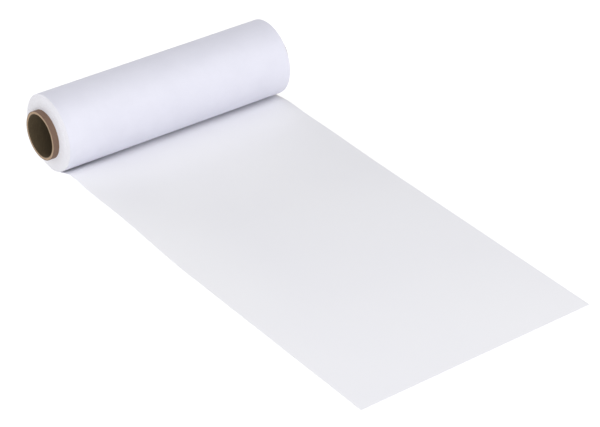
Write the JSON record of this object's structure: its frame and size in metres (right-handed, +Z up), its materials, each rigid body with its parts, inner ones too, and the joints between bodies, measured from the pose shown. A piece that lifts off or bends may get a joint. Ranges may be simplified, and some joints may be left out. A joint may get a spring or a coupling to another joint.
{
  "type": "roll of sign vinyl",
  "caption": "White self-adhesive vinyl on a release liner, wound on a paper tube core, with its first half metre rolled out flat.",
  "frame": {"origin": "middle of the core's bore, on the roll's axis", "axes": "+X along the roll's axis, -Y towards the web's free end, +Z up; the table is one roll radius below the origin"},
  "size_m": [0.3284, 0.598, 0.0922],
  "materials": {
    "film": "satin",
    "adhesive": "gloss",
    "liner": "satin",
    "web_roll": "satin",
    "tape": "satin",
    "core_lining": "matte",
    "core_board": "matte",
    "core_wrap": "matte"
  },
  "bodies": {
    "laid_web": {"laid_liner": "liner", "laid_adhesive": "adhesive", "laid_film": "film"},
    "outer_turn": {"outer_turn_liner": "liner", "outer_turn_adhesive": "adhesive", "outer_turn_film": "film"},
    "roll": {"core_inner_ply": "core_lining", "core_body_ply_1": "core_board", "core_body_ply_2": "core_board", "core_body_ply_3": "core_board", "core_body_ply_4": "core_board", "core_body_ply_5": "core_board", "core_outer_ply": "core_wrap", "core_start_tape": "tape", "wound_web": "web_roll"},
    "film_end": {"peel_adhesive": "adhesive", "peel_film": "film"}
  },
  "joints": [
    {"name": "roll_travel", "type": "slide", "parent": "laid_web", "child": "outer_turn", "axis": [0, 1, 0], "range_m": [-0.25, 0.4], "deforming": ["laid_liner", "laid_adhesive", "laid_film"]},
    {"name": "roll_spin", "type": "hinge", "parent": "outer_turn", "child": "roll", "pos_m": [0, 0, 0], "axis": [1, 0, 0], "range_deg": [-500, 315]},
    {"name": "film_peel", "type": "hinge", "parent": "laid_web", "child": "film_end", "pos_m": [0.01133, -0.49192, -0.04585], "axis": [-1, 0, 0], "range_deg": [0, 165]}
  ],
  "couplings": [
    {"joint": "roll_spin", "follows": "roll_travel", "rad_per_m": -21.692}
  ]
}
